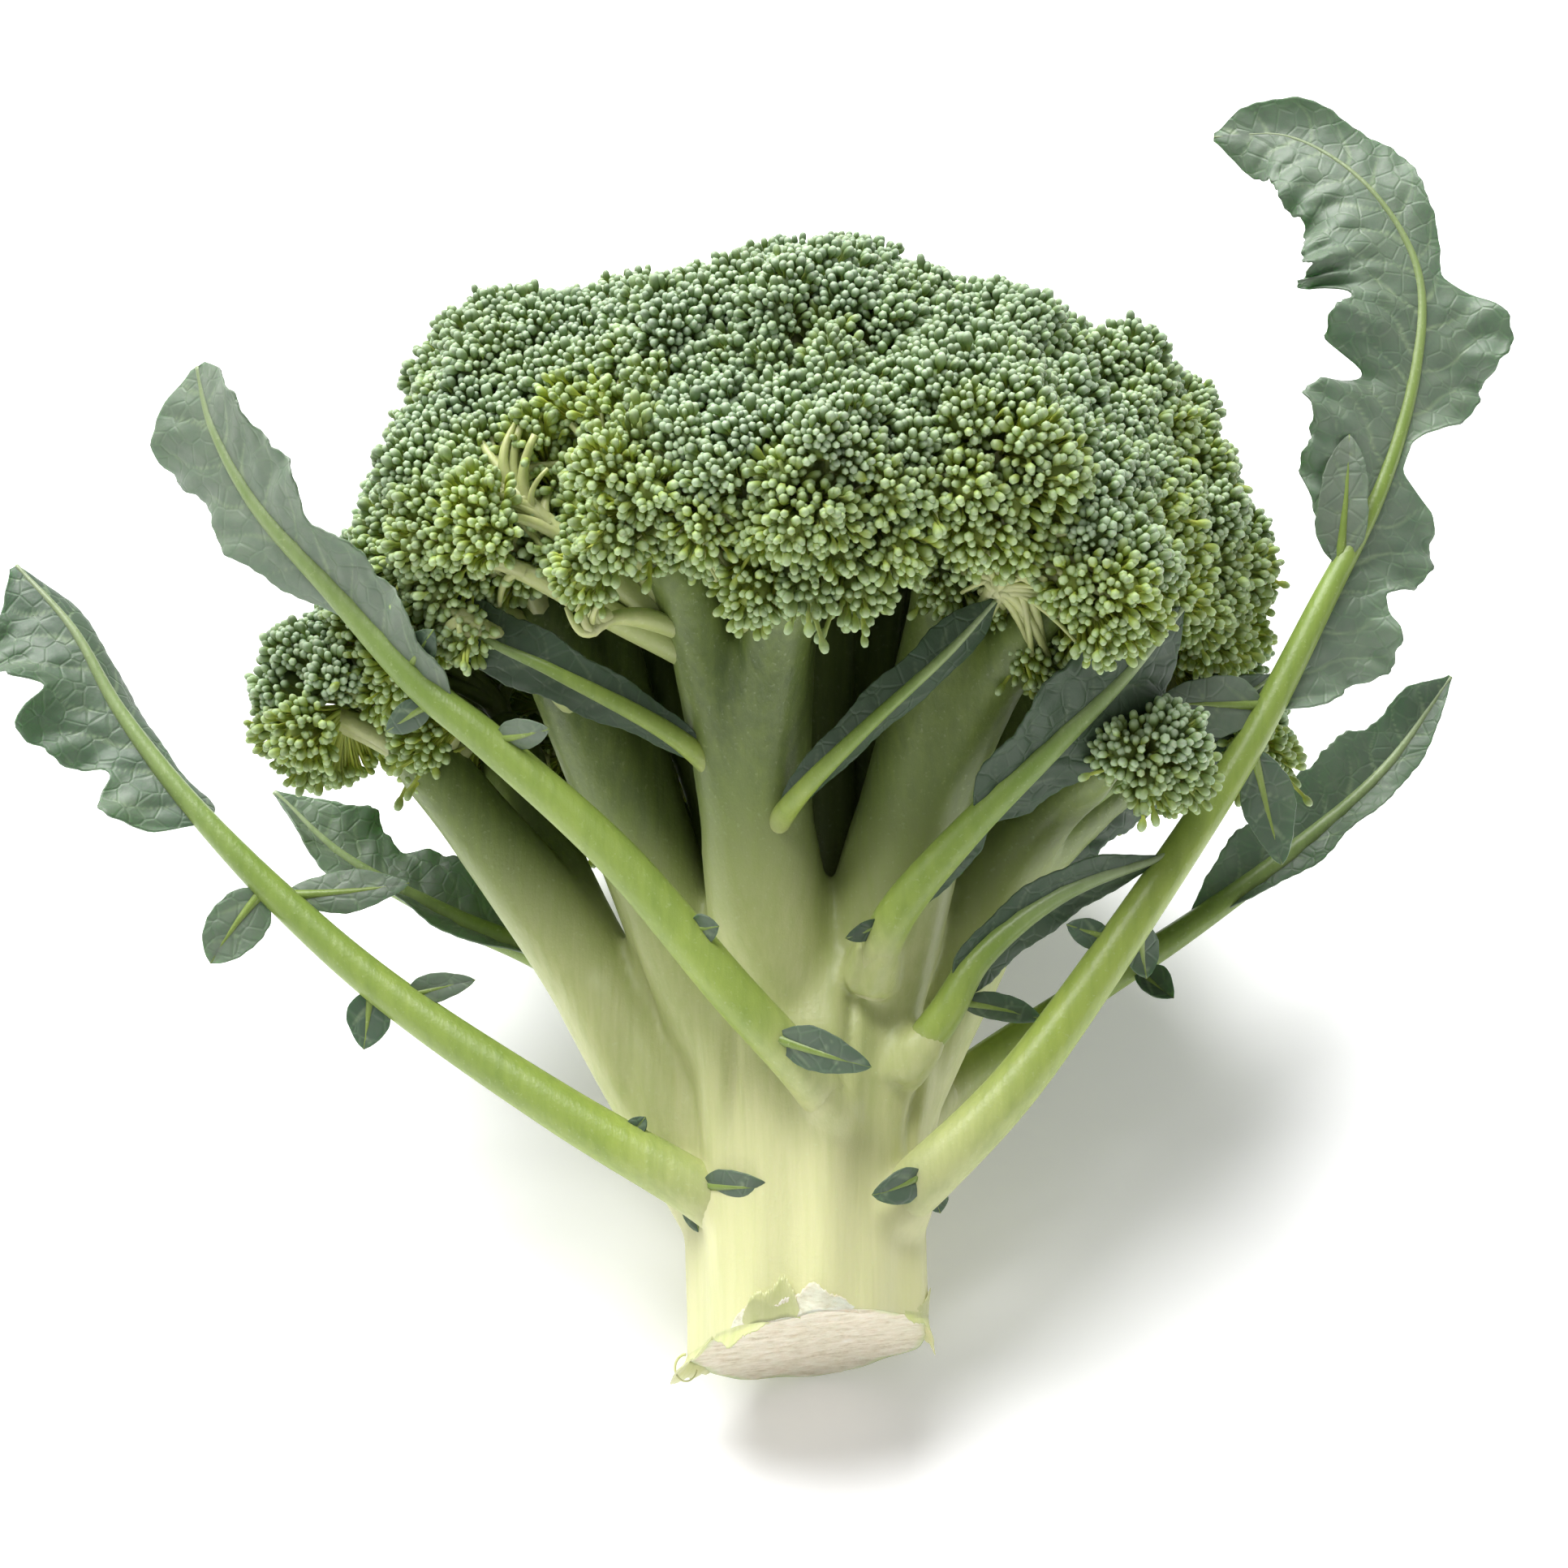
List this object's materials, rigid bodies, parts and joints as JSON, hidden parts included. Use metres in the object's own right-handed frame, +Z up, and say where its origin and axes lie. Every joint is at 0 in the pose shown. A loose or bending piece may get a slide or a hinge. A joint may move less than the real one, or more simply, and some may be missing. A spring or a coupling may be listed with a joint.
{
  "type": "broccoli head",
  "caption": "Cut head of broccoli lying on its side: a thick ribbed stalk with an oblique cut, branches fanning into a domed crown of bud clusters, and long lobed leaves around it.",
  "frame": {"origin": "middle of the underside of the whole head's box, on the surface that it lies on", "axes": "+X to the right across the crown, seen from the cut end; +Y from the cut end towards the crown; +Z up"},
  "size_m": [0.24, 0.1732, 0.145],
  "materials": {
    "stalk": "satin",
    "floret": "matte",
    "leaf": "satin"
  },
  "bodies": {
    "root": {"stalk": "stalk", "leaf_right_long": "leaf", "leaf_left_long": "leaf", "leaf_upper_left": "leaf", "leaf_inner_left": "leaf", "leaf_back_left": "leaf", "leaf_centre": "leaf", "leaf_inner_right": "leaf", "leaf_low_right": "leaf", "leaf_middle_right": "leaf", "leaf_back_right": "leaf", "floret_01": "floret", "floret_02": "floret", "floret_03": "floret", "floret_04": "floret", "floret_05": "floret", "floret_06": "floret", "floret_07": "floret", "floret_08": "floret", "floret_09": "floret", "floret_10": "floret", "floret_11": "floret", "floret_12": "floret", "floret_13": "floret", "floret_14": "floret", "floret_15": "floret", "floret_16": "floret", "floret_17": "floret", "floret_18": "floret", "floret_19": "floret", "floret_20": "floret", "floret_21": "floret", "floret_22": "floret", "floret_23": "floret", "floret_24": "floret", "floret_25": "floret", "floret_26": "floret", "floret_27": "floret", "floret_28": "floret"}
  },
  "joints": []
}
